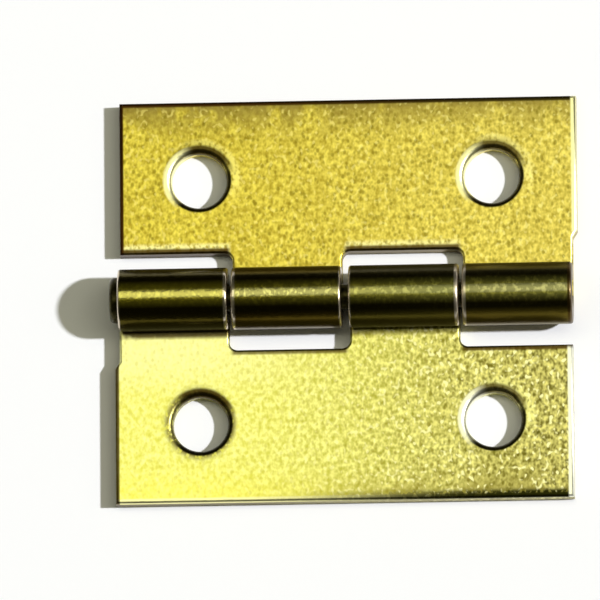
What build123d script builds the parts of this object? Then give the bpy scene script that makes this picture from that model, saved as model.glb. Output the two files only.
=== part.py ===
from build123d import *
import os
from math import asin, cos, degrees, radians, sin

os.makedirs("parts", exist_ok=True)

# A pressed box hinge, lying open and flat with its barrel upwards.
# X runs along the pin, +Y points to the lid leaf, and Z rises from the flat backs of the leaves.

# Driving dimensions, in millimetres
leaf_length = 25.0  # one leaf, along the pin
leaf_reach = 11.15  # from the pin's axis to a leaf's free edge
sheet = 0.95  # thickness of the sheet
pin_diameter = 1.4
pin_clearance = 0.05  # radial room for the knuckles to turn on the pin
barrel_setback = 0.2  # how much shorter the barrel is than a leaf
knuckle_gap = 0.2  # between an outer knuckle and its neighbour
middle_gap = 0.4  # between the two knuckles at the middle
slot_clearance = 1.0  # from the barrel to the edge of the slot it turns in
slot_corner = 0.45  # radius in the slots' corners
side_step = 0.25  # how far a leaf's side stands out past its outer knuckle
step_length = 0.95  # from the slot edge to where the side has its full width
step_slope = 0.4  # length of the slope that leads out to the full side
hole_diameter = 3.0
hole_end_margin = 4.5  # from a leaf's end to the hole's centre
hole_shift = 0.15  # how much nearer to the barrel the holes sit than the middle of the flat
hole_roll = 0.33  # radius that the punch draws in at a hole's front rim
edge_roll = 0.25  # radius that the press draws in along the front of the flat
back_break = 0.12  # burr taken off the back of the flat and of the holes
knuckle_break = 0.15  # taken off the outside of a knuckle at its ends
seam_gap = 0.06  # between the roll's cut end and the flat that it comes down on
head_diameter = 2.5  # formed head on one end of the pin
head_height = 0.4
head_clearance = 0.05  # between the head and the knuckle beside it
head_round = 0.25  # radius round the head's rim
tail_setback = 0.1  # how far the plain end stays inside the barrel
tail_chamfer = 0.2

# Sizes that follow from them
bore_radius = pin_diameter / 2 + pin_clearance
barrel_radius = bore_radius + sheet
axis_height = barrel_radius
barrel_length = leaf_length - barrel_setback
barrel_end = barrel_length / 2
knuckle_length = (barrel_length - middle_gap - 2 * knuckle_gap) / 4
outer_side = barrel_end + side_step
inner_side = outer_side - leaf_length
slot_reach = barrel_radius + slot_clearance
step_reach = slot_reach + step_length
hole_reach = (slot_reach + leaf_reach) / 2 - hole_shift
hole_pitch = leaf_length - 2 * hole_end_margin

# Where one leaf's two knuckles start, with the slots for the other leaf's knuckles beside them
knuckle_starts = (-middle_gap / 2 - knuckle_length, barrel_end - knuckle_length)
off_axis = 0.01  # edges nearer than this to the pin's axis, seen from above, lie under it

# The roll starts under the pin, goes round the far side and over, and comes down on the flat
roll_end = degrees(asin((sheet + seam_gap) / barrel_radius - 1))
roll_turn = 270 - roll_end


def on_cut_end(radius):
    """Point of the roll's cut end at this radius from the pin's axis, as (Y, Z)."""
    turn = radians(roll_end)
    return (radius * cos(turn), axis_height + radius * sin(turn))


# The flat of a leaf, with a tab that runs in under the pin at each knuckle
with BuildPart() as flat:
    with BuildSketch() as blank:
        with Locations((inner_side, slot_reach)):
            Rectangle(leaf_length, leaf_reach - slot_reach, align=Align.MIN)
        for start in knuckle_starts:
            with Locations((start, 0)):
                Rectangle(knuckle_length, slot_reach, align=Align.MIN)
        # The side steps in beside the outer knuckle
        with BuildLine():
            Polyline(
                (barrel_end, slot_reach),
                (outer_side, slot_reach),
                (outer_side, step_reach),
                (barrel_end, step_reach - step_slope),
                close=True,
            )
        make_face(mode=Mode.SUBTRACT)
        slot_line = blank.vertices().filter_by_position(Axis.Y, slot_reach, slot_reach)
        fillet(slot_line.sort_by(Axis.X)[1:], slot_corner)
    extrude(amount=sheet)

    # The press rolls the front edges over and leaves a broken burr on the back
    front = flat.faces().sort_by(Axis.Z)[-1]
    fillet(front.edges().filter_by_position(Axis.Y, off_axis, leaf_reach), edge_roll)
    back = flat.faces().sort_by(Axis.Z)[0]
    chamfer(back.edges().filter_by_position(Axis.Y, off_axis, leaf_reach), back_break)

    # Screw holes, punched from the front
    with Locations((-hole_pitch / 2, hole_reach, sheet), (hole_pitch / 2, hole_reach, sheet)):
        Hole(hole_diameter / 2)
    rims = flat.edges(Select.LAST).filter_by(GeomType.CIRCLE).group_by(Axis.Z)
    fillet(rims[-1], hole_roll)
    chamfer(rims[0], back_break)

# One knuckle, rolled from the tab round the pin
with BuildPart() as knuckle:
    with BuildSketch(Plane.YZ):
        with BuildLine():
            CenterArc((0, axis_height), barrel_radius, -90, -roll_turn)
            Line(on_cut_end(barrel_radius), on_cut_end(bore_radius))
            CenterArc((0, axis_height), bore_radius, roll_end, roll_turn)
            Line((0, sheet), (0, 0))
        make_face()
    extrude(amount=knuckle_length)
    rolled_edges = knuckle.edges().filter_by(GeomType.CIRCLE)
    chamfer(rolled_edges.filter_by(lambda edge: edge.radius > bore_radius), knuckle_break)

# The lid leaf is one sheet: the flat with its two tabs rolled up
with BuildPart() as lid_leaf:
    add(flat.part)
    with Locations(*[(start, 0, 0) for start in knuckle_starts]):
        add(knuckle.part)

lid_leaf.part.label = "lid_leaf"
export_step(lid_leaf.part, "parts/lid_leaf.step")

# The box leaf is the same pressing turned end for end
with BuildPart() as box_leaf:
    add(lid_leaf.part, rotation=(0, 0, 180))

box_leaf.part.label = "box_leaf"
export_step(box_leaf.part, "parts/box_leaf.step")

# The pin is a wire with a low formed head beside the box leaf's outer knuckle
head_seat = -barrel_end - head_clearance
head_end = head_seat - head_height
tail_end = barrel_end - tail_setback

with BuildPart() as hinge_pin:
    with BuildSketch(Plane((0, 0, axis_height), x_dir=(1, 0, 0), z_dir=(0, -1, 0))) as half_section:
        with BuildLine():
            Polyline(
                (head_end, 0),
                (head_end, head_diameter / 2),
                (head_seat, head_diameter / 2),
                (head_seat, pin_diameter / 2),
                (tail_end, pin_diameter / 2),
                (tail_end, 0),
                close=True,
            )
        make_face()
        fillet(half_section.vertices().group_by(Axis.X)[0].sort_by(Axis.Y)[-1], head_round)
        chamfer(half_section.vertices().group_by(Axis.X)[-1].sort_by(Axis.Y)[-1], tail_chamfer)
    revolve(axis=Axis((0, 0, axis_height), (1, 0, 0)))

hinge_pin.part.label = "hinge_pin"
export_step(hinge_pin.part, "parts/hinge_pin.step")
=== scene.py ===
# %% Start
import math
import bpy
from mathutils import Matrix, Vector


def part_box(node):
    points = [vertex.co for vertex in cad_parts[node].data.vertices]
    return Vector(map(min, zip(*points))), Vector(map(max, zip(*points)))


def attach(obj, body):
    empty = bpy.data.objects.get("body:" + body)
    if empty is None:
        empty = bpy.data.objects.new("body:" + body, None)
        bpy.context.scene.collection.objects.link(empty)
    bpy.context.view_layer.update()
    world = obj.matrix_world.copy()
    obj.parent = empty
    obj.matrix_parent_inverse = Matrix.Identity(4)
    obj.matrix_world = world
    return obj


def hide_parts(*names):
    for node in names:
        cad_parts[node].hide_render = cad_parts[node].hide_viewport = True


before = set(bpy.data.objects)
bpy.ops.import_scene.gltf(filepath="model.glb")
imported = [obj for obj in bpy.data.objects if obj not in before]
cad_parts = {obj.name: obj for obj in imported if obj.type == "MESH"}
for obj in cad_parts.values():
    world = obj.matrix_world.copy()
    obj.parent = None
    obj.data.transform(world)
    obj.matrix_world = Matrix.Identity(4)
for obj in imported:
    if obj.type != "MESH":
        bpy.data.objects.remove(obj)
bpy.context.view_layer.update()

mm = 0.001  # the frame is in metres, and a hinge is easier to think of in millimetres

# %% [markdown]
# A small box hinge is three pieces: two leaves, each pressed from one sheet of metal, and a pin that
# joins them. All sizes could be typed in, but then they could drift away from the solid parts. So the
# main ones are measured on the lid leaf's CAD node. Only what a box around the leaf can't tell is written
# out, in millimetres.

# %% Sizes of a leaf
leaf_low, leaf_high = [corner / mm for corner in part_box("lid_leaf")]
barrel_radius = leaf_high.z / 2
leaf_reach = leaf_high.y  # from the pin's axis to the free edge
inner_side = leaf_low.x
outer_side = leaf_high.x
sheet = 0.95  # thickness of the metal
bore_radius = barrel_radius - sheet
side_step = 0.25  # how far the side stands out past the outer knuckle
barrel_end = outer_side - side_step
middle_gap = 0.4  # between the two knuckles at the middle
knuckle_length = 6.0
slot_clearance = 1.0  # from the barrel to the edge of the slot it turns in
slot_reach = barrel_radius + slot_clearance
slot_corner = 0.45  # radius in the slots' corners
step_length = 0.95  # from the slot's edge to where the side has its full width
step_reach = slot_reach + step_length
step_slope = 0.4  # length of the slope that leads out to the full side
seam_gap = 0.06  # between the end of a roll and the flat that it comes down on
pin_axis = Vector((0, 0, barrel_radius))
print("leaf, mm:", round(outer_side - inner_side, 2), "long,", round(leaf_reach, 2), "reach")

# %% [markdown]
# By hand, a modeller adds a block, picks edges or faces with the mouse, and cuts one block out of
# another. With no mouse, a few helpers do the same: they place a block between two corners, and pick
# edges or faces by where they are. Picking by place still finds the right edges when a size changes, and
# a list of numbers would not.

# %% Helpers for modelling
touch = 0.001  # two places nearer than this are the same place


def only_select(piece):
    bpy.ops.object.select_all(action="DESELECT")
    piece.select_set(True)
    bpy.context.view_layer.objects.active = piece


def add_block(name, low, high):
    """A cube that fills the space between two corners."""
    bpy.ops.object.select_all(action="DESELECT")
    low, high = Vector(low), Vector(high)
    bpy.ops.mesh.primitive_cube_add(size=1, location=(low + high) / 2, scale=high - low)
    bpy.ops.object.transform_apply(location=True, rotation=True, scale=True)
    block = bpy.context.object
    block.name = name
    return block


def edit_with(piece, kind, chosen):
    """Enters edit mode with just the chosen edges or faces selected, given by index."""
    only_select(piece)
    bpy.ops.object.mode_set(mode="EDIT")
    bpy.ops.mesh.select_mode(type=kind)
    bpy.ops.mesh.select_all(action="DESELECT")
    bpy.ops.object.mode_set(mode="OBJECT")
    parts = piece.data.edges if kind == "EDGE" else piece.data.polygons
    for index in chosen:
        parts[index].select = True
    bpy.ops.object.mode_set(mode="EDIT")


def edges_where(piece, test):
    """Indices of the edges whose two end points pass the test."""
    points = piece.data.vertices
    return [e.index for e in piece.data.edges if test(points[e.vertices[0]].co, points[e.vertices[1]].co)]


def cut_away(piece, cutter):
    """Subtracts the cutter from the piece and throws it away."""
    only_select(piece)
    cut = piece.modifiers.new("cut", "BOOLEAN")
    cut.operation = "DIFFERENCE"
    cut.solver = "EXACT"
    cut.object = cutter
    bpy.ops.object.modifier_apply(modifier=cut.name)
    bpy.data.objects.remove(cutter)


# %% [markdown]
# A leaf starts as a plain strip of sheet. The slots for the other leaf's knuckles are punched out of its
# long edge, so that two tabs are left standing. The outline could be drawn point by point, but cutting
# the slots out of a block is what the press does. Each cutter has its two inner corners rounded by a
# bevel, because a real punch has no sharp corners.

# %% The blank with its slots
leaf = add_block("pressed_lid_leaf", (inner_side, 0, 0), (outer_side, leaf_reach, sheet))
inner_knuckle = (-middle_gap / 2 - knuckle_length, -middle_gap / 2)
outer_knuckle = (barrel_end - knuckle_length, barrel_end)
past = 2  # how far a cutter stands out of the sheet
corner_steps = 8
round_profile = 0.5  # the shape of a bevel that is part of a circle


def is_slot_corner(a, b):
    upright = abs(a.z - b.z) > sheet
    return upright and min(a.y, b.y) > slot_reach - touch and min(a.x, b.x) > inner_side


for start, end in ((inner_side - past, inner_knuckle[0]), (inner_knuckle[1], outer_knuckle[0])):
    slot = add_block("slot", (start, -past, -past), (end, slot_reach, sheet + past))
    edit_with(slot, "EDGE", edges_where(slot, is_slot_corner))
    bpy.ops.mesh.bevel(offset=slot_corner, segments=corner_steps, profile=round_profile)
    bpy.ops.object.mode_set(mode="OBJECT")
    cut_away(leaf, slot)
print("blank:", len(leaf.data.polygons), "faces")

# %% [markdown]
# Beside the outer knuckle the side of the leaf steps in on a short slope. The corner could be moved by
# hand, but a cut keeps the sheet clean. The cutter is a block whose far edge is slid along the side,
# which tilts its end face to that slope. Cuts leave seams across the flats, and a limited dissolve takes
# them out again before the leaf is bevelled.

# %% Step in the side
step_start = step_reach - step_slope
step = add_block("side_step", (barrel_end, -past, -past), (outer_side + side_step, step_start, sheet + past))
flat_angle = math.radians(1)  # faces that meet at less than this are one flat


def is_far_edge(a, b):
    return min(a.y, b.y) > step_start - touch and min(a.x, b.x) > outer_side


edit_with(step, "EDGE", edges_where(step, is_far_edge))
bpy.ops.transform.translate(value=(0, 2 * step_slope, 0))
bpy.ops.object.mode_set(mode="OBJECT")
cut_away(leaf, step)

only_select(leaf)
bpy.ops.object.mode_set(mode="EDIT")
bpy.ops.mesh.select_all(action="SELECT")
bpy.ops.mesh.dissolve_limited(angle_limit=flat_angle)
bpy.ops.object.mode_set(mode="OBJECT")
print("stepped blank:", len(leaf.data.polygons), "faces")

# %% [markdown]
# Each tab is rolled round the pin. A knuckle could be a tube set on the leaf, but a real one is the same
# sheet, with a seam where its end comes down. Spin does what the forming die does: it carries the end
# face of the tab round the axis of the pin, and what it sweeps is the knuckle. It stops just above the
# flat, where the seam is.

# %% Rolled knuckles
roll_end = math.asin((sheet + seam_gap) / barrel_radius - 1)
roll_turn = math.radians(270) - roll_end
roll_steps = 160  # steps under two degrees, which a bevel takes as one smooth line
facing = 0.99  # a face whose normal has this much of a direction looks that way
tab_ends = [face.index for face in leaf.data.polygons if face.normal.y < -facing and face.center.y < touch]
edit_with(leaf, "FACE", tab_ends)
bpy.ops.mesh.spin(steps=roll_steps, angle=roll_turn, center=pin_axis, axis=(1, 0, 0))
bpy.ops.mesh.select_all(action="SELECT")
bpy.ops.mesh.remove_doubles(threshold=touch)
bpy.ops.mesh.normals_make_consistent(inside=False)
bpy.ops.object.mode_set(mode="OBJECT")
print("rolled:", len(tab_ends), "knuckles,", len(leaf.data.polygons), "faces")

# %% [markdown]
# A press draws the edge of the sheet down on the side it cuts from, and tumbling takes the burr off the
# other side, so no edge of a leaf is sharp. The round runs on along the ends of the knuckles, because
# they are cut in the same stroke. One bevel over all edges would break up the roll, so two bevels follow
# chosen lines: one goes along the front and round the bores, one along the back and round the outside of
# the rolls.

# %% Rounded edges
front_round = 0.16
back_round = 0.14
round_steps = 5
sharp_angle = math.radians(60)  # edges between faces that meet at more than this are sharp
on_line = 0.005  # how far a point may be off a surface and still count as on it


def from_axis(point):
    return math.hypot(point.y, point.z - barrel_radius)


def on_flat(point, height):
    return point.y > -touch and abs(point.z - height) < on_line


def on_roll(point, radius):
    return abs(from_axis(point) - radius) < on_line


def sharp_edges(piece):
    """Indices of the sharp edges."""
    only_select(piece)
    bpy.ops.object.mode_set(mode="EDIT")
    bpy.ops.mesh.select_mode(type="EDGE")
    bpy.ops.mesh.select_all(action="DESELECT")
    bpy.ops.mesh.edges_select_sharp(sharpness=sharp_angle)
    bpy.ops.object.mode_set(mode="OBJECT")
    return {e.index for e in piece.data.edges if e.select}


def round_off(piece, height, radius, amount):
    """Rounds the outline of the face at this height, and of the roll at this radius."""

    def is_outline(a, b):
        round_the_pin = abs(a.x - b.x) < touch and on_roll(a, radius) and on_roll(b, radius)
        return round_the_pin or (on_flat(a, height) and on_flat(b, height))

    outline = sorted(sharp_edges(piece) & set(edges_where(piece, is_outline)))
    edit_with(piece, "EDGE", outline)
    bpy.ops.mesh.bevel(offset=amount, segments=round_steps, profile=round_profile)
    bpy.ops.object.mode_set(mode="OBJECT")
    return len(outline)


print("front edges:", round_off(leaf, sheet, bore_radius, front_round))
print("back edges:", round_off(leaf, 0, barrel_radius, back_round))

# %% [markdown]
# The punch for a screw hole drags the front rim down with it and pushes up a low lip round it. A plain
# cut would leave a sharp hole, and a bevel on it knows nothing of the lip. So the eye is turned like a
# ring, from a section that runs along the back, up the wall of the hole, round the drawn rim and out over
# the lip. Here the section is written as a list of rings, each with a radius and a height.

# %% Section of a punched eye
hole_radius = 1.5
rim_draw = 0.32  # how far the drawn rim reaches past the hole
rim_depth = 0.35  # how deep the rim is drawn down
lip_rise = 0.02  # how far the lip stands above the flat
lip_reach = 0.8  # from the hole to where the lip has run out
rim_end = hole_radius + rim_draw
eye_radius = hole_radius + lip_reach
rim_steps = 8
lip_steps = 7

eye_rings = [(eye_radius, 0), (hole_radius + back_round, 0), (hole_radius, back_round)]
for k in range(rim_steps + 1):
    turn = math.pi / 2 * k / rim_steps
    ring_height = sheet + lip_rise - rim_depth * (1 - math.sin(turn))
    eye_rings.append((hole_radius + rim_draw * (1 - math.cos(turn)), ring_height))
for k in range(1, lip_steps + 1):
    way = k / lip_steps
    fall = (1 + math.cos(math.pi * way)) / 2
    eye_rings.append((rim_end + (eye_radius - rim_end) * way, sheet + lip_rise * fall))
print("eye:", len(eye_rings), "rings")

# %% [markdown]
# The eye takes the place of the flat round each hole. First a round opening as wide as the lip is cut,
# and the wall of that cut is deleted. Then a circle is extruded from ring to ring, joined to the leaf and
# merged with the edge of the opening. The merge leaves a few slivers, so small gaps are filled and faces
# without area are dissolved.

# %% Punched eyes
eye_sides = 72
hole_margin = 4.5  # from a leaf's end to the hole's centre
hole_shift = 0.15  # how much nearer to the barrel the holes sit than the middle of the flat
hole_reach = (slot_reach + leaf_reach) / 2 - hole_shift
half_pitch = (outer_side - inner_side) / 2 - hole_margin


def cut_opening(centre):
    """Cuts a round opening into the leaf and deletes the wall of the cut."""
    bpy.ops.object.select_all(action="DESELECT")
    bpy.ops.mesh.primitive_cylinder_add(
        vertices=eye_sides, radius=eye_radius, depth=2 * past, location=centre
    )
    bpy.ops.object.transform_apply(location=True)
    cut_away(leaf, bpy.context.object)
    wall = [
        face.index for face in leaf.data.polygons
        if abs(face.normal.z) < 0.5 and (face.center - centre).xy.length < eye_radius + touch
    ]
    edit_with(leaf, "FACE", wall)
    bpy.ops.mesh.delete(type="ONLY_FACE")
    bpy.ops.object.mode_set(mode="OBJECT")


def turn_eye(centre):
    """Adds the ring round one screw hole, and leaves it selected."""
    bpy.ops.object.select_all(action="DESELECT")
    radius, height = eye_rings[0]
    bpy.ops.mesh.primitive_circle_add(vertices=eye_sides, radius=radius, location=centre)
    bpy.ops.object.transform_apply(location=True)
    bpy.ops.object.mode_set(mode="EDIT")
    bpy.ops.mesh.select_mode(type="EDGE")
    bpy.ops.mesh.select_all(action="SELECT")
    for next_radius, next_height in eye_rings[1:]:
        bpy.ops.mesh.extrude_region_move(TRANSFORM_OT_translate={"value": (0, 0, next_height - height)})
        growth = next_radius / radius
        bpy.ops.transform.resize(value=(growth, growth, 1), center_override=centre)
        radius, height = next_radius, next_height
    bpy.ops.object.mode_set(mode="OBJECT")


def join_to_leaf():
    """Joins the selected ring to the leaf and closes the line where they meet."""
    leaf.select_set(True)
    bpy.context.view_layer.objects.active = leaf
    bpy.ops.object.join()
    bpy.ops.object.mode_set(mode="EDIT")
    bpy.ops.mesh.select_all(action="SELECT")
    bpy.ops.mesh.remove_doubles(threshold=touch)
    bpy.ops.mesh.delete_loose()
    bpy.ops.mesh.select_all(action="SELECT")
    bpy.ops.mesh.fill_holes(sides=3)
    bpy.ops.mesh.select_all(action="SELECT")
    bpy.ops.mesh.dissolve_degenerate(threshold=touch)
    bpy.ops.mesh.select_all(action="SELECT")
    bpy.ops.mesh.normals_make_consistent(inside=False)
    bpy.ops.object.mode_set(mode="OBJECT")


for eye_x in (-half_pitch, half_pitch):
    eye_centre = Vector((eye_x, hole_reach, 0))
    cut_opening(eye_centre)
    turn_eye(eye_centre)
    join_to_leaf()
print("with eyes:", len(leaf.data.polygons), "faces")

# %% [markdown]
# Pressed metal shines in smooth sweeps over its rounds and lies dead flat between them. More faces would
# show that too, but smooth shading does it with few. Weighted normals keep the broad flats flat, so that
# the light doesn't bend on them next to a bevel. The leaf was modelled in millimetres, and is brought
# down to metres first.

# %% Shading of the leaf
smooth_angle = math.radians(40)  # edges that turn by less than this are shaded as one surface
only_select(leaf)
bpy.ops.transform.resize(value=(mm, mm, mm), center_override=(0, 0, 0))
bpy.ops.object.transform_apply(location=True, rotation=True, scale=True)
bpy.ops.object.shade_smooth_by_angle(angle=smooth_angle)
weigh = leaf.modifiers.new("flats", "WEIGHTED_NORMAL")
weigh.keep_sharp = True
bpy.ops.object.modifier_apply(modifier=weigh.name)
print("leaf, mm:", [round(side / mm, 2) for side in leaf.dimensions])

# %% [markdown]
# The box leaf is the same pressing turned end for end, so nothing is modelled twice: it is a copy with
# its own mesh, turned half round the upright axis. The turn is applied, so that the pattern of its grain
# stays in place. Each leaf then takes the place of its CAD node and moves with that node's side of the
# hinge.

# %% Box leaf
only_select(leaf)
bpy.ops.object.duplicate()
box_leaf = bpy.context.object
box_leaf.name = "pressed_box_leaf"
bpy.ops.transform.rotate(value=math.pi, orient_axis="Z", center_override=(0, 0, 0))
bpy.ops.object.transform_apply(location=True, rotation=True, scale=True)

for piece, body, node in ((leaf, "lid_side", "lid_leaf"), (box_leaf, "box_side", "box_leaf")):
    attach(piece, body)
    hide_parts(node)
    print(piece.name, "takes the place of", node)

# %% [markdown]
# A finish is a tree of nodes. In the editor each node is added, set and wired by hand. The helpers here
# do the same in one line each, so that the cells below read as what is mixed with what.

# %% Helpers for node trees
def add_node(tree, kind, **settings):
    """A new node with its own settings, and with its input sockets set by name."""
    node = tree.nodes.new(kind)
    sockets = settings.pop("sockets", {})
    for name, value in settings.items():
        setattr(node, name, value)
    for name, value in sockets.items():
        node.inputs[name].default_value = value
    return node


def feed(tree, source, target):
    tree.links.new(source, target)


def new_group(name, inputs, outputs):
    """An empty shader node group with named sockets, and its two end nodes."""
    group = bpy.data.node_groups.new(name, "ShaderNodeTree")
    for socket, kind in inputs.items():
        group.interface.new_socket(socket, in_out="INPUT", socket_type="NodeSocket" + kind)
    for socket in outputs:
        group.interface.new_socket(socket, in_out="OUTPUT", socket_type="NodeSocketFloat")
    return group, add_node(group, "NodeGroupInput"), add_node(group, "NodeGroupOutput")


def ramp(tree, value, start, end, low=0.0, high=1.0):
    """A soft step from low to high as the value goes from start to end."""
    step = add_node(
        tree, "ShaderNodeMapRange", interpolation_type="SMOOTHSTEP",
        sockets={"From Min": start, "From Max": end, "To Min": low, "To Max": high},
    )
    feed(tree, value, step.inputs["Value"])
    return step.outputs["Result"]


def combine(tree, operation, first, second):
    """One value from two, each a number or another node's output."""
    node = add_node(tree, "ShaderNodeMath", operation=operation)
    for socket, value in zip(node.inputs, (first, second)):
        if isinstance(value, (int, float)):
            socket.default_value = value
        else:
            feed(tree, value, socket)
    return node.outputs[0]


def vectors(tree, operation, first, second=(0, 0, 0)):
    """One vector from two, each written out or another node's output, or a value from them."""
    node = add_node(tree, "ShaderNodeVectorMath", operation=operation)
    for socket, value in zip(node.inputs, (first, second)):
        if isinstance(value, tuple):
            socket.default_value = value
        else:
            feed(tree, value, socket)
    return node.outputs["Value" if operation in ("LENGTH", "DOT_PRODUCT") else "Vector"]


# %% [markdown]
# The plating is satin: the sheet was rolled with a fine grain, and the thin bright coat follows it. Grain
# of about a quarter of a millimetre tilts the surface a little from place to place, so that a lamp glints
# in some spots and not in others. Close up it also has dark pits and pale flecks. A picture of metal
# wrapped round the leaf would repeat and stretch, and noise doesn't. One node group gives all of that,
# and broad clouds for uneven plating, to every metal here.

# %% Grain of the plated metal
grain_stretch = (1.0, 0.75, 1.0)  # under 1 makes the grains longer that way
layer_weight = 0.6  # how much the finer layers of a noise count
clouds_per_metre = 600.0
pits_per_grain = 0.75
flecks_per_grain = 1.15

grain, grain_in, grain_out = new_group(
    "plating grain", {"Place": "Vector", "Grains per metre": "Float"},
    ("Height", "Speckle", "Pits", "Flecks", "Cloud"),
)
drawn_out = add_node(grain, "ShaderNodeMapping", sockets={"Scale": grain_stretch})
feed(grain, grain_in.outputs["Place"], drawn_out.inputs["Vector"])


def per_metre(share):
    """So many for each grain along a metre."""
    return combine(grain, "MULTIPLY", grain_in.outputs["Grains per metre"], share)


def grain_noise(name, offset, share, detail):
    """Noise with so many spots for each grain, moved aside so that no two are alike."""
    noise = add_node(
        grain, "ShaderNodeTexNoise", label=name, sockets={"Detail": detail, "Roughness": layer_weight}
    )
    feed(grain, vectors(grain, "ADD", drawn_out.outputs["Vector"], (offset, 0, 0)), noise.inputs["Vector"])
    feed(grain, per_metre(share), noise.inputs["Scale"])
    return noise.outputs["Fac"]


clouds = add_node(
    grain, "ShaderNodeTexNoise",
    sockets={"Scale": clouds_per_metre, "Detail": 3.0, "Roughness": layer_weight},
)
feed(grain, drawn_out.outputs["Vector"], clouds.inputs["Vector"])
feed(grain, ramp(grain, clouds.outputs["Fac"], 0.3, 0.7), grain_out.inputs["Cloud"])

feed(grain, grain_noise("height", 0.0, 1.0, 2.0), grain_out.inputs["Height"])
feed(grain, ramp(grain, grain_noise("speckle", 0.1, 1.0, 1.0), 0.2, 0.8), grain_out.inputs["Speckle"])

pits = add_node(grain, "ShaderNodeTexVoronoi", label="pits")
feed(grain, drawn_out.outputs["Vector"], pits.inputs["Vector"])
feed(grain, per_metre(pits_per_grain), pits.inputs["Scale"])
feed(grain, ramp(grain, pits.outputs["Distance"], 0.42, 0.14), grain_out.inputs["Pits"])

flecks = grain_noise("flecks", 0.3, flecks_per_grain, 0.0)
feed(grain, ramp(grain, flecks, 0.6, 0.78), grain_out.inputs["Flecks"])
print("grain group:", len(grain.nodes), "nodes")

# %% [markdown]
# Plating is never even: it darkens towards the free edge and is darker in a ring round the holes of the
# box leaf. Many of the other places carry painted light and shade: painted shade on the left sides, the
# walls, the slots' edges and the crease beside the barrel, painted glare on the right sides, painted
# highlights and shade round the eyes, and a painted highlight, dark reflections and glints on the rolls.
# Such places could be painted on a map, but a group that finds them from the position on a leaf stays
# sharp close up, and both leaves can use it. Each place is a mask that is 1 there and fades out around
# it. This cell finds the ends, the outer edges and the seam beside the barrel. Its distances are in
# millimetres, first where a place begins to show and then where it is full.

# %% Places on a leaf
spots, spots_in, spots_out = new_group(
    "places on a leaf", {"Place": "Vector", "Left end": "Float", "Right end": "Float"},
    (
        "Along", "Pale end sheen", "Free edge", "Rim", "Edge line shade and glare", "Left side shade", "Right side glare", "Wall shade",
        "Slot edge shear and shade", "Slot strip highlight", "Seam",
        "Hole ring", "Hole halo highlight", "Hole glint", "Hole shade", "Hole wall shade",
        "Rolls", "Crown highlight", "Roll dark reflection", "North roll reflection", "South roll reflection", "Knuckle end glints", "Last end shade",
    ),
)
spot = spots_in.outputs["Place"]
axes = add_node(spots, "ShaderNodeSeparateXYZ")
feed(spots, spot, axes.inputs["Vector"])
from_left = combine(spots, "SUBTRACT", axes.outputs["X"], spots_in.outputs["Left end"])
from_right = combine(spots, "SUBTRACT", spots_in.outputs["Right end"], axes.outputs["X"])
reach = combine(spots, "ABSOLUTE", axes.outputs["Y"], 0)
height = axes.outputs["Z"]


def step_mm(value, start, end):
    """A soft step between two sizes in millimetres."""
    return ramp(spots, value, start * mm, end * mm)


off_back = step_mm(height, 0.02, 0.1)
on_front = step_mm(height, sheet - 0.2, sheet - 0.1)
past_slot = step_mm(reach, slot_reach, slot_reach + 0.3)


def place_mask(name, *masks):
    """Sends out the product of some masks, off the back of the leaf, as one of the group's places."""
    product = off_back
    for mask in masks:
        product = combine(spots, "MULTIPLY", product, mask)
    feed(spots, product, spots_out.inputs[name])


feed(spots, step_mm(axes.outputs["X"], -10, 13), spots_out.inputs["Along"])
# Painted sheen: the box leaf's left end near the barrel is paled as if it caught the light.
place_mask("Pale end sheen", step_mm(from_left, 12.5, 3), step_mm(reach, slot_reach + 3.2, slot_reach + 0.2))
place_mask("Free edge", step_mm(reach, leaf_reach - 2.6, leaf_reach))
place_mask("Rim", on_front, step_mm(reach, leaf_reach - 0.62, leaf_reach - 0.3))
# Painted shade and glare along the free edge's round: dark on the lid leaf, pale then olive on the box leaf.
place_mask("Edge line shade and glare", on_front, step_mm(reach, leaf_reach - 0.32, leaf_reach - 0.2))
# Painted shade along the left sides, which face away from the lamp.
place_mask("Left side shade", step_mm(from_left, 0.26, 0.17))
# Painted glare on the right sides, which face the lamp.
place_mask("Right side glare", on_front, past_slot, step_mm(from_right, 0.36, 0.24))
# Partly dirt, partly painted shade in the crease beside the barrel.
place_mask("Seam", step_mm(reach, barrel_radius + 0.45, barrel_radius + 0.15))
print("group for the places:", len(spots.nodes), "nodes so far")

# %% [markdown]
# The slots' edges are dark, partly from the punch's shear and partly as painted shade, and a strip beside
# the slots is paled as a painted highlight. The rolls have places of their own: a painted highlight on
# the crown, dark bands of painted reflection beside it, flanks with painted reflections, a painted glint
# on the knuckles' ends and painted shade on the last end. The leaves are one pressing turned half round,
# so the sign of Y turns a place on either of them to where it is on the lid leaf. The gaps between
# knuckles come at an even pitch, and ping-pong gives the distance to the nearest one.

# %% Slots and rolls
turned_x = combine(spots, "MULTIPLY", axes.outputs["X"], combine(spots, "SIGN", axes.outputs["Y"], 0))
end_slot = step_mm(turned_x, inner_knuckle[0], inner_knuckle[0] - 0.3)
after_inner = step_mm(turned_x, inner_knuckle[1], inner_knuckle[1] + 0.3)
before_outer = step_mm(turned_x, outer_knuckle[0], outer_knuckle[0] - 0.3)
in_slot = combine(spots, "ADD", end_slot, combine(spots, "MULTIPLY", after_inner, before_outer))
# Partly shear marks, partly painted shade along the slots' edges.
place_mask("Slot edge shear and shade", in_slot, step_mm(reach, slot_reach + 0.36, slot_reach + 0.2))
# Painted highlight: a pale strip beside the slots.
place_mask("Slot strip highlight", in_slot, step_mm(reach, slot_reach + 0.65, slot_reach + 0.4))

barrel_top = 2 * barrel_radius
knuckle_pitch = outer_knuckle[0] - middle_gap / 4
from_gap = combine(spots, "PINGPONG", axes.outputs["X"], knuckle_pitch / 2 * mm)
on_rolls = step_mm(height, sheet + 0.1, sheet + 0.4)
place_mask("Rolls", on_rolls)
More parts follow.
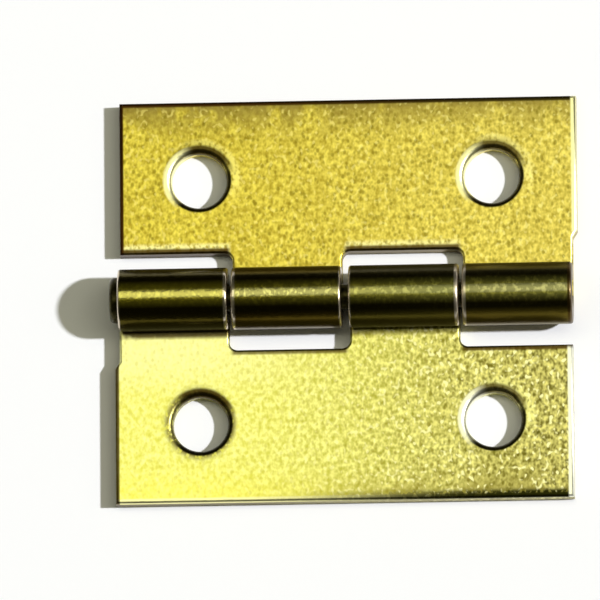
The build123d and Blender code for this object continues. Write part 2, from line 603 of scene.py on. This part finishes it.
# Painted highlight on the crown of the rolls.
place_mask("Crown highlight", step_mm(height, barrel_top - 0.025, barrel_top - 0.008))
# Painted reflection: dark bands beside the crown stand in for a dim room mirrored in the rolls.
place_mask("Roll dark reflection", on_rolls, step_mm(height, barrel_top - 0.02, barrel_top - 0.2))
# Painted reflections on the two flanks of the rolls.
place_mask("North roll reflection", on_rolls, step_mm(axes.outputs["Y"], 0.58 * barrel_radius, 0.78 * barrel_radius))
place_mask("South roll reflection", on_rolls, step_mm(axes.outputs["Y"], -0.56 * barrel_radius, -0.72 * barrel_radius))
# Painted glints on the rounded ends of the knuckles.
place_mask("Knuckle end glints", on_rolls, step_mm(from_gap, 0.36, 0.26))
# Painted shade on the last knuckle's end.
place_mask("Last end shade", on_rolls, step_mm(from_right, 0.54, 0.45))
print("pitch of the knuckles, mm:", round(knuckle_pitch, 2))

# %% [markdown]
# Round a punched eye the metal is stretched, and the marks round it are painted light and shade: a painted
# highlight on the left of the rim, which faces the lamp, a painted bright halo to the upper right, painted
# shade on the upper side, and painted shade down in the hole. The box leaf is also darker in a ring round
# its holes, and the walls of the sheet away from the eyes get painted shade. Each quarter of the hinge has
# one hole, so the signs of X and Y give the middle of the nearest one, and no list of holes is needed. The
# direction from that middle says which side of the eye a place is on.

# %% Screw holes
to_left = (-0.97, 0.2, 0)
to_top = (0.2, 0.97, 0)
to_top_right = (0.7, 0.7, 0)

quarter = vectors(spots, "SIGN", spot)
hole_middle = vectors(spots, "MULTIPLY", quarter, (half_pitch * mm, hole_reach * mm, 0))
aside = vectors(spots, "SUBTRACT", vectors(spots, "MULTIPLY", spot, (1, 1, 0)), hole_middle)
from_hole = vectors(spots, "LENGTH", aside)
outward = vectors(spots, "NORMALIZE", aside)
leftward = ramp(spots, vectors(spots, "DOT_PRODUCT", outward, to_left), 0.35, 0.85)
upward = ramp(spots, vectors(spots, "DOT_PRODUCT", outward, to_top), 0.3, 0.8)
up_and_right = ramp(spots, vectors(spots, "DOT_PRODUCT", outward, to_top_right), 0.1, 0.8)
not_leftward = ramp(spots, leftward, 0, 1, 1, 0)
not_upward = ramp(spots, upward, 0, 1, 1, 0)

in_rim = step_mm(from_hole, rim_end, rim_end - 0.1)
above_wall = step_mm(height, sheet - 0.4, sheet - 0.3)
below_front = step_mm(height, sheet - 0.15, sheet - 0.3)
place_mask("Hole ring", step_mm(from_hole, rim_end + 0.3, rim_end - 0.05))
# Painted highlight: a bright halo to the upper right of each eye.
place_mask("Hole halo highlight", up_and_right, step_mm(from_hole, rim_end + 0.6, rim_end + 0.35))
# Painted highlight on the left of each rim, which faces the lamp.
place_mask("Hole glint", leftward, step_mm(from_hole, rim_end + 0.22, rim_end + 0.08))
# Painted shade on the upper side of each eye.
place_mask("Hole shade", upward, step_mm(from_hole, rim_end + 0.25, rim_end + 0.05), above_wall)
# Painted shade down in each hole.
place_mask("Hole wall shade", in_rim, not_leftward, not_upward)
# Painted shade on the walls of the sheet.
place_mask("Wall shade", below_front, step_mm(from_hole, rim_end, rim_end + 0.1))
print("places on a leaf:", len(spots_out.inputs) - 1)

# %% [markdown]
# Every metal of the hinge starts the same way: a metallic shader whose bump is the grain. The bump is
# real relief only for the light, which is enough for grain that is finer than the mesh.

# %% Grained metal
grains_per_metre = 4300.0
colour_in = (6, 7)  # a Mix node has sockets for each kind of data, and these are its two colours
colour_out = 2


def mix_colours(tree, share, first, second):
    """A colour between two, each a colour or another node's output."""
    mix = add_node(tree, "ShaderNodeMix", data_type="RGBA")
    feed(tree, share, mix.inputs["Factor"])
    for index, colour in zip(colour_in, (first, second)):
        if isinstance(colour, tuple):
            mix.inputs[index].default_value = (*colour, 1)
        else:
            feed(tree, colour, mix.inputs[index])
    return mix.outputs[colour_out]


def new_metal(name, grain_depth):
    """A metal with the plating grain as its bump. Gives the material and the grain's outputs."""
    metal = bpy.data.materials.new(name)
    metal.use_nodes = True
    tree = metal.node_tree
    shader = tree.nodes["Principled BSDF"]
    shader.inputs["Metallic"].default_value = 1
    place = add_node(tree, "ShaderNodeTexCoord")
    texture = add_node(
        tree, "ShaderNodeGroup", node_tree=grain, sockets={"Grains per metre": grains_per_metre}
    )
    feed(tree, place.outputs["Object"], texture.inputs["Place"])
    bump = add_node(tree, "ShaderNodeBump", sockets={"Strength": 1.0, "Distance": grain_depth * mm})
    feed(tree, texture.outputs["Height"], bump.inputs["Height"])
    feed(tree, bump.outputs["Normal"], shader.inputs["Normal"])
    return metal, texture.outputs


# %% [markdown]
# A leaf's colour is laid on coat by coat, like a painter would do it: two golds mixed by the speckle, and
# on top of them one tone for each place, many of which are painted light and shade. The left and right
# end have their own tones and strengths, because the real leaves change along the pin, and the painted
# light on them changes too. The flats are satin, and the rolls are burnished smoother by the forming die.

# %% Coats on a leaf
satin = 0.35  # roughness of the flats
leaf_grain_depth = 0.012
broken_from, broken_to = 0.1, 0.55  # where a coat thins out over the grain, and where it is whole
thinnest = 0.2  # what is left of the coat where it is thinnest


def plated_leaf(name, ends, burnish, deep, pale, coats):
    """Satin plating. A coat is a mask, what breaks it up, and its strengths and tones at left and right."""
    metal, texture = new_metal(name, leaf_grain_depth)
    tree = metal.node_tree
    shader = tree.nodes["Principled BSDF"]
    place = tree.nodes["Texture Coordinate"]
    here = add_node(
        tree, "ShaderNodeGroup", node_tree=spots,
        sockets={"Left end": ends[0] * mm, "Right end": ends[1] * mm},
    )
    feed(tree, place.outputs["Object"], here.inputs["Place"])
    along = here.outputs["Along"]
    colour = mix_colours(
        tree, texture["Speckle"], mix_colours(tree, along, *deep), mix_colours(tree, along, *pale)
    )
    for mask, broken_by, strength, tones in coats:
        source = texture[mask] if mask in texture else here.outputs[mask]
        share = combine(tree, "MULTIPLY", source, ramp(tree, along, 0, 1, *strength))
        if broken_by:
            broken = ramp(tree, texture[broken_by], broken_from, broken_to, thinnest, 1)
            share = combine(tree, "MULTIPLY", share, broken)
        colour = mix_colours(tree, share, colour, mix_colours(tree, along, *tones))
    feed(tree, colour, shader.inputs["Base Color"])
    gloss = add_node(tree, "ShaderNodeMix", sockets={"A": satin})
    feed(tree, here.outputs["Rolls"], gloss.inputs["Factor"])
    feed(tree, ramp(tree, along, 0, 1, *burnish), gloss.inputs["B"])
    feed(tree, gloss.outputs["Result"], shader.inputs["Roughness"])
    print(name, "has", len(coats), "coats")
    return metal


# %% [markdown]
# The tones that both leaves share come first: browns for tarnish and dirt, which also serve as painted
# shade, sooty blacks for the rolls' speckle and for painted shade and dark reflections, and pale ones for
# painted highlights and glints, one of them also the pale flecks of the grain. The lid leaf is a warm gold
# all over, browner along its free edge.

# %% Finish of the lid leaf
# Tones named for shade, glare, glint, sheen or reflection are painted light; black and olive also serve as
# painted shade.
brown_tarnish_and_shade = (0.24, 0.18, 0.045)
dark_brown_dirt_and_shade = (0.08, 0.045, 0.008)
red_brown_shade = (0.05, 0.02, 0.003)
umber_shade = (0.05, 0.03, 0.004)
soot_and_shade = (0.035, 0.026, 0.005)
green_soot = (0.03, 0.036, 0.01)
black = (0.02, 0.015, 0.004)
black_reflection_band = (0.022, 0.016, 0.002)
cream_fleck_and_glint = (1.0, 0.97, 0.55)
end_glint_pale = (0.80, 0.70, 0.56)

lid_plating = plated_leaf(
    "lid plating", (inner_side, outer_side), burnish=(0.24, 0.32),
    deep=((0.42, 0.315, 0.025), (0.44, 0.35, 0.049)), pale=((0.91, 0.78, 0.12), (0.95, 0.81, 0.19)),
    coats=(
        ("Cloud", "", (0.3, 0.2), ((0.46, 0.35, 0.035), (0.50, 0.39, 0.055))),
        ("Free edge", "Cloud", (0.8, 0.6), (brown_tarnish_and_shade, brown_tarnish_and_shade)),
        ("Slot strip highlight", "Speckle", (0.7, 0.5), (cream_fleck_and_glint, cream_fleck_and_glint)),
        ("Pits", "", (0.6, 0.6), ((0.22, 0.17, 0.01), (0.21, 0.17, 0.015))),
        ("Flecks", "", (0.4, 0.45), ((1.0, 0.88, 0.28), (1.0, 0.92, 0.36))),
        ("Rim", "Speckle", (0.5, 0.4), (brown_tarnish_and_shade, brown_tarnish_and_shade)),
        ("Edge line shade and glare", "", (1.0, 1.0), (red_brown_shade, soot_and_shade)),
        ("Slot edge shear and shade", "", (0.95, 0.9), (dark_brown_dirt_and_shade, dark_brown_dirt_and_shade)),
        ("Seam", "Speckle", (0.15, 0.1), (dark_brown_dirt_and_shade, dark_brown_dirt_and_shade)),
        ("Left side shade", "", (1.0, 0.0), (red_brown_shade, red_brown_shade)),
        ("Right side glare", "", (0.0, 1.0), (cream_fleck_and_glint, cream_fleck_and_glint)),
        ("Wall shade", "", (1.0, 0.7), (red_brown_shade, brown_tarnish_and_shade)),
        ("Hole halo highlight", "Speckle", (0.6, 0.4), ((1.0, 0.90, 0.26), (1.0, 0.94, 0.40))),
        ("Hole shade", "", (0.95, 0.9), (umber_shade, umber_shade)),
        ("Hole wall shade", "", (0.95, 0.95), (black, black)),
        ("Hole glint", "", (0.9, 0.85), (cream_fleck_and_glint, cream_fleck_and_glint)),
        ("Rolls", "", (1.0, 1.0), ((0.52, 0.45, 0.04), (0.46, 0.43, 0.09))),
        ("Crown highlight", "", (1.0, 1.0), ((0.74, 0.70, 0.26), (0.52, 0.50, 0.22))),
        ("Rolls", "Speckle", (0.5, 0.55), (soot_and_shade, green_soot)),
        ("Roll dark reflection", "", (0.95, 0.95), (black_reflection_band, black_reflection_band)),
        ("North roll reflection", "", (0.95, 0.95), ((0.16, 0.11, 0.01), (0.18, 0.14, 0.02))),
        ("South roll reflection", "", (0.95, 0.95), ((0.08, 0.052, 0.005), (0.16, 0.12, 0.016))),
        ("Knuckle end glints", "", (0.8, 0.8), (end_glint_pale, end_glint_pale)),
        ("Last end shade", "", (0.0, 0.9), (dark_brown_dirt_and_shade, dark_brown_dirt_and_shade)),
    ),
)

# %% [markdown]
# The box leaf has the same plating, but it is paler at the left, almost straw, which is partly a painted
# sheen, and goes over to a coarse olive speckle at the right. So its two golds lie close together at one
# end and far apart at the other.

# %% Finish of the box leaf
straw_sheen = (1.0, 1.0, 0.6)
bleached_glare = (1.0, 1.0, 0.85)
olive = (0.018, 0.018, 0.0025)

box_plating = plated_leaf(
    "box plating", (-outer_side, -inner_side), burnish=(0.2, 0.34),
    deep=((0.755, 0.73, 0.115), (0.06, 0.05, 0.004)), pale=((1.0, 1.0, 0.39), (1.0, 0.93, 0.33)),
    coats=(
        ("Cloud", "", (0.1, 0.35), ((0.84, 0.80, 0.12), (0.32, 0.28, 0.045))),
        ("Pale end sheen", "", (0.5, 0.5), (straw_sheen, straw_sheen)),
        ("Free edge", "", (0.45, 0.0), ((1.0, 0.94, 0.12), brown_tarnish_and_shade)),
        ("Free edge", "Cloud", (0.0, 0.7), (brown_tarnish_and_shade, (0.30, 0.26, 0.06))),
        ("Pits", "", (0.2, 0.75), ((0.46, 0.40, 0.04), (0.12, 0.10, 0.008))),
        ("Flecks", "", (0.2, 0.9), (cream_fleck_and_glint, cream_fleck_and_glint)),
        ("Hole ring", "Speckle", (0.8, 0.1), (dark_brown_dirt_and_shade, brown_tarnish_and_shade)),
        ("Edge line shade and glare", "", (0.9, 0.0), (cream_fleck_and_glint, cream_fleck_and_glint)),
        ("Rim", "Speckle", (0.0, 1.0), (olive, olive)),
        ("Edge line shade and glare", "", (0.0, 1.0), (olive, olive)),
        ("Slot edge shear and shade", "", (0.8, 0.95), (dark_brown_dirt_and_shade, dark_brown_dirt_and_shade)),
        ("Seam", "Cloud", (0.9, 0.15), (dark_brown_dirt_and_shade, dark_brown_dirt_and_shade)),
        ("Left side shade", "", (0.9, 0.0), (red_brown_shade, red_brown_shade)),
        ("Right side glare", "", (0.0, 1.0), (bleached_glare, bleached_glare)),
        ("Wall shade", "", (0.92, 0.2), (dark_brown_dirt_and_shade, brown_tarnish_and_shade)),
        ("Hole halo highlight", "Speckle", (0.0, 0.6), (cream_fleck_and_glint, (1.0, 0.97, 0.36))),
        ("Hole shade", "", (0.95, 0.85), (umber_shade, umber_shade)),
        ("Hole wall shade", "", (0.95, 0.95), (black, black)),
        ("Hole glint", "", (0.0, 1.0), (cream_fleck_and_glint, bleached_glare)),
        ("Rolls", "", (1.0, 1.0), ((0.56, 0.49, 0.04), (0.40, 0.39, 0.09))),
        ("Crown highlight", "", (1.0, 1.0), ((0.62, 0.57, 0.15), (0.38, 0.39, 0.17))),
        ("Rolls", "Speckle", (0.3, 0.6), (soot_and_shade, green_soot)),
        ("Roll dark reflection", "", (0.95, 0.95), (black_reflection_band, black_reflection_band)),
        ("North roll reflection", "", (0.95, 0.95), ((0.14, 0.12, 0.06), (0.10, 0.09, 0.05))),
        ("South roll reflection", "", (0.95, 0.95), ((0.07, 0.055, 0.007), (0.12, 0.10, 0.013))),
        ("Knuckle end glints", "", (0.8, 0.8), (end_glint_pale, end_glint_pale)),
    ),
)

# %% [markdown]
# The pin is wire, seen only as its head and as dark lines in the gaps between the knuckles. Its near-black
# colour is partly painted shade, for the dark head and the shaded gaps. Its CAD node already has the right
# shape, so it gets no new mesh, only a metal with shallower relief and a dark speckle.

# %% Pin
pin_grain_depth = 0.004
pin_roughness = 0.35
pin_plating, pin_texture = new_metal("pin plating", pin_grain_depth)
pin_tree = pin_plating.node_tree
pin_shader = pin_tree.nodes["Principled BSDF"]
pin_shader.inputs["Roughness"].default_value = pin_roughness
# Painted shade: the pin is nearly black, to look shaded in the gaps and at its head.
pin_colour_and_shade = mix_colours(pin_tree, pin_texture["Speckle"], (0.02, 0.017, 0.005), (0.08, 0.07, 0.025))
feed(pin_tree, pin_colour_and_shade, pin_shader.inputs["Base Color"])

hinge_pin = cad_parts["hinge_pin"]
for piece, metal in ((leaf, lid_plating), (box_leaf, box_plating), (hinge_pin, pin_plating)):
    piece.data.materials.clear()
    piece.data.materials.append(metal)
    print(piece.name, "is finished in", metal.name)

# %% [markdown]
# The hinge lies on a sheet of white paper. A curved backdrop would hide a horizon, but the camera looks
# down and sees none, so a flat sheet is enough. Paper has no gloss, so its specular is off and only the
# shadow shows on it.

# %% Floor
floor_size = 4  # metres, far past the edges of the picture
bpy.ops.object.select_all(action="DESELECT")
bpy.ops.mesh.primitive_plane_add(size=floor_size, location=(0, 0, 0))
floor = bpy.context.object
floor.name = "floor"
paper = bpy.data.materials.new("white paper")
paper.use_nodes = True
paper_shader = paper.node_tree.nodes["Principled BSDF"]
paper_shader.inputs["Base Color"].default_value = (0.96, 0.96, 1.0, 1)
paper_shader.inputs["Roughness"].default_value = 1
paper_shader.inputs["Specular IOR Level"].default_value = 0
floor.data.materials.append(paper)
print("floor:", floor_size, "m of", paper.name)

# %% [markdown]
# One lamp from the right throws the crisp shadow to the left of the hinge. A near lamp would spread the
# shadow, so it is a sun, slightly cool and a few degrees wide. The room around it is dim, so that the
# rolls keep their dark bands, which are also painted into the rolls' colour as dark reflection.

# %% Room and key lamp
room_glow = (0.05, 0.05, 0.036, 1)
key_height = math.radians(43.5)
key_north = math.radians(2)

world = bpy.data.worlds.new("dim room")
bpy.context.scene.world = world
world.use_nodes = True
world.node_tree.nodes["Background"].inputs["Color"].default_value = room_glow

toward_key = Vector((
    math.cos(key_height) * math.cos(key_north),
    math.cos(key_height) * math.sin(key_north),
    math.sin(key_height),
))
key_lamp = bpy.data.lights.new("key", "SUN")
key_lamp.energy = 3.4
key_lamp.color = (0.965, 0.975, 1.0)
key_lamp.angle = math.radians(3)
key = bpy.data.objects.new("key", key_lamp)
bpy.context.collection.objects.link(key)
key.rotation_euler = toward_key.to_track_quat("Z", "Y").to_euler()
print("key lamp stands", round(math.degrees(key_height), 1), "degrees high")

# %% [markdown]
# Metal shows what it mirrors, so it needs soft panels more than lamps. A warm strip overhead, a little
# towards the lid leaf, is what the flats and the crowns of the rolls reflect. A small panel round the key
# softens its glints, and a weak one at the left keeps the far sides from going black. Each is set by the
# angles between which it stands, measured from straight up, because those angles decide where on a roll
# its reflection lies.

# %% Soft panels
panel_distance = 300 * mm
panel_tint = (1.0, 0.985, 0.72)
north, east, west = (0, 1, 0), (1, 0, 0), (-1, 0, 0)


def add_panel(name, level, low, high, length, glow):
    """A soft panel in the sky, between two angles from straight up towards a level direction."""
    middle, half = math.radians((low + high) / 2), math.radians((high - low) / 2)
    lamp = bpy.data.lights.new(name, "AREA")
    lamp.shape = "RECTANGLE"
    lamp.color = panel_tint
    lamp.size = length
    lamp.size_y = 2 * panel_distance * math.tan(half)
    lamp.energy = glow * math.pi * lamp.size * lamp.size_y
    toward = Vector(level) * math.sin(middle) + Vector((0, 0, math.cos(middle)))
    panel = bpy.data.objects.new(name, lamp)
    bpy.context.collection.objects.link(panel)
    side = toward.cross(Vector(level)).normalized()
    panel.matrix_world = Matrix((side, toward.cross(side), toward)).transposed().to_4x4()
    panel.location = toward * panel_distance
    panel.visible_camera = False
    print(name, "mm:", round(lamp.size / mm), "by", round(lamp.size_y / mm))


add_panel("north_strip", north, low=-2, high=20, length=420 * mm, glow=1.65)
add_panel("west_fill", west, low=35, high=70, length=420 * mm, glow=0.1)
add_panel("key_glow", east, low=25, high=65, length=200 * mm, glow=0.45)

# %% [markdown]
# The camera looks almost straight down, from slightly below the hinge in the picture and slightly to the
# right, and is turned a little. It could be placed by eye. Angles, a target and the width of the picture
# are easier to correct, because each of them changes one thing only.

# %% Camera
camera_distance = 1000 * mm
camera_south = math.radians(11.5)
camera_east = math.radians(2.97)
camera_roll = math.radians(-0.43)
camera_target = Vector((-2.53, 0.04, 0.8)) * mm
frame_width = 32.74 * mm  # what the picture spans at the target

back = Vector((math.tan(camera_east), -math.tan(camera_south), 1)).normalized()
right = Vector((0, 1, 0)).cross(back).normalized()
up = back.cross(right)
turned_right = right * math.cos(camera_roll) + up * math.sin(camera_roll)
turned_up = up * math.cos(camera_roll) - right * math.sin(camera_roll)
lens = bpy.data.cameras.new("camera")
lens.lens = lens.sensor_width * camera_distance / frame_width
lens.clip_start = 1 * mm
camera = bpy.data.objects.new("camera", lens)
bpy.context.collection.objects.link(camera)
camera_axes = Matrix((turned_right, turned_up, back)).transposed().to_4x4()
camera.matrix_world = Matrix.Translation(camera_target + back * camera_distance) @ camera_axes
bpy.context.scene.camera = camera
bpy.context.scene.view_settings.view_transform = "Standard"
print("lens, mm:", round(lens.lens))
